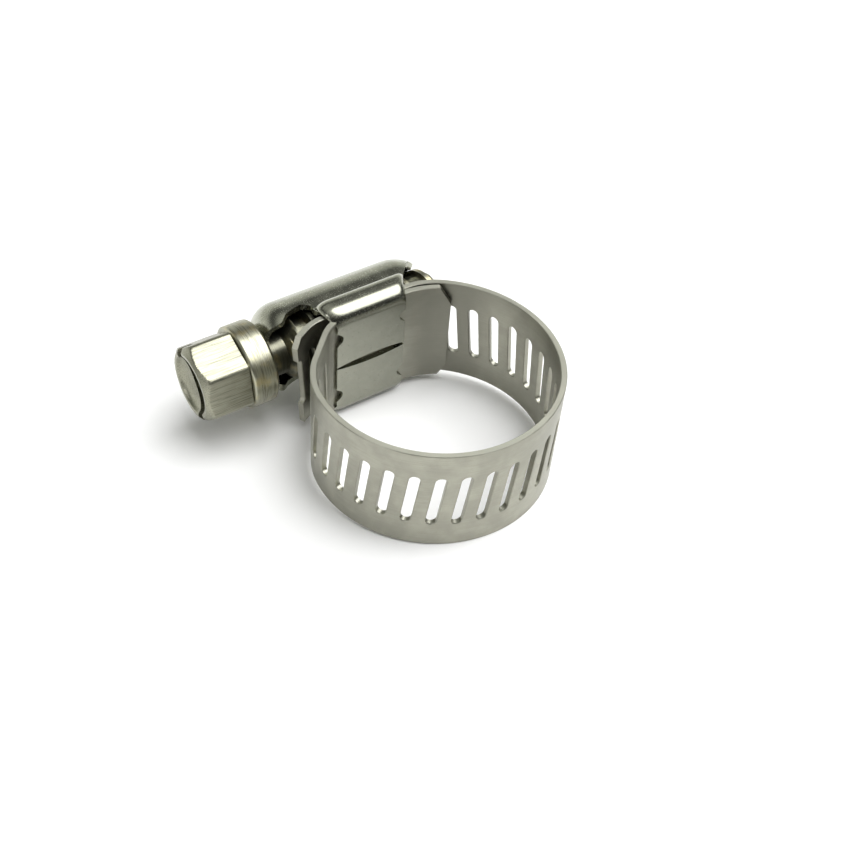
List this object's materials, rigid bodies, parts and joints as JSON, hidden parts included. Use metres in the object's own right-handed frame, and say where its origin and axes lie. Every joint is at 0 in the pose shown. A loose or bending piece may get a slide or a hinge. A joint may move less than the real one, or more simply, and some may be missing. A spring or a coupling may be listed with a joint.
{
  "type": "worm drive hose clamp",
  "caption": "Slotted steel band in a ring, closed by a worm screw with a slotted hex head, held in a folded sheet housing.",
  "frame": {"origin": "on the axis of the hose bore, at the band's lower edge", "axes": "+Z along the hose bore; the screw lies along X on the +Y side of the ring, its hex head towards -X and its tip towards +X"},
  "size_m": [0.0331, 0.0336, 0.0147],
  "materials": {
    "housing_steel": "polished stainless sheet",
    "screw_steel": "turned and brushed stainless",
    "band_steel": "satin stainless strip"
  },
  "bodies": {
    "clamp": {"housing": "housing_steel", "band_fixed_end": "band_steel", "band_entry": "band_steel"},
    "worm_screw": {"worm_screw": "screw_steel"},
    "band_loop": {"band_loop": "band_steel"},
    "band_free_end": {"band_free_end": "band_steel"}
  },
  "joints": [
    {"name": "screw_spin", "type": "hinge", "parent": "clamp", "child": "worm_screw", "pos_m": [0, 0.01535, 0.00635], "axis": [1, 0, 0], "range_deg": [0, 360]},
    {"name": "band_feed", "type": "slide", "parent": "clamp", "child": "band_free_end", "axis": [-1, 0, 0], "range_m": [0, 0.0025]},
    {"name": "loop_feed", "type": "hinge", "parent": "clamp", "child": "band_loop", "pos_m": [0, 0, 0], "axis": [0, 0, 1], "range_deg": [0, 11.6], "deforming": ["band_loop"]}
  ],
  "couplings": [
    {"joint": "screw_spin", "follows": "band_feed", "rad_per_m": 2513.3},
    {"joint": "loop_feed", "follows": "band_feed", "rad_per_m": 78.864}
  ]
}
